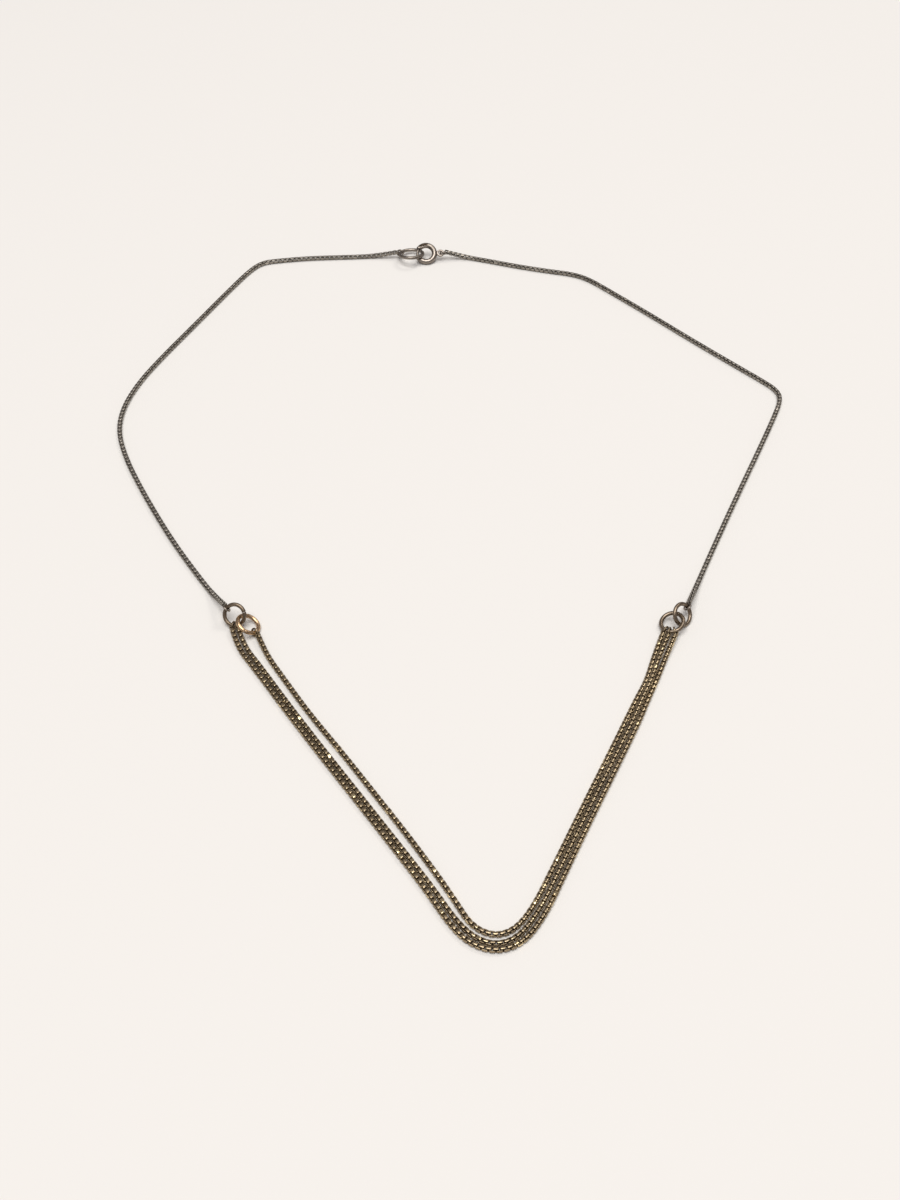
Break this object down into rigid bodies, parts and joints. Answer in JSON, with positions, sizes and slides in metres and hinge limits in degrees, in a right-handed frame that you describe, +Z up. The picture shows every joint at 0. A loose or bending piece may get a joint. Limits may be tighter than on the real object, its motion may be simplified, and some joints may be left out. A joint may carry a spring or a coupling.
{
  "type": "multi-strand box chain necklace with a bolt ring clasp, lying open on a surface",
  "caption": "Box chain necklace lying open: a finer back chain, jump rings, strands side by side in front, and a bolt ring clasp.",
  "frame": {"origin": "middle of the necklace's length and width, on the surface that it lies on", "axes": "+Z up; -Y towards the front of the neckline, where the strands meet their lowest point; +X to the right seen from the front"},
  "size_m": [0.1484, 0.1992, 0.0046],
  "materials": {
    "gilt_silver": "tarnished silver-gilt box links",
    "grey_silver": "dull grey-brown worn silver",
    "ring_silver": "worn silver wire",
    "ring_gold": "coppery gilt wire"
  },
  "bodies": {
    "necklace": {"back_chain_left": "grey_silver", "back_chain_right": "grey_silver", "strand_inner": "gilt_silver", "strand_middle": "gilt_silver", "strand_outer": "gilt_silver", "left_jump_ring": "ring_silver", "left_strand_ring": "ring_gold", "right_jump_ring": "ring_silver", "right_strand_ring": "ring_silver", "clasp_end_ring": "ring_silver", "clasp_ring": "ring_silver"},
    "bolt": {"clasp_bolt": "ring_silver"}
  },
  "joints": [
    {"name": "clasp_bolt_slide", "type": "hinge", "parent": "necklace", "child": "bolt", "pos_m": [-0.00645, 0.09655, 0.00183], "axis": [-0.0289, 0.5512, -0.8339], "range_deg": [0, 58], "stiffness_Nm_per_rad": 0.0015}
  ]
}
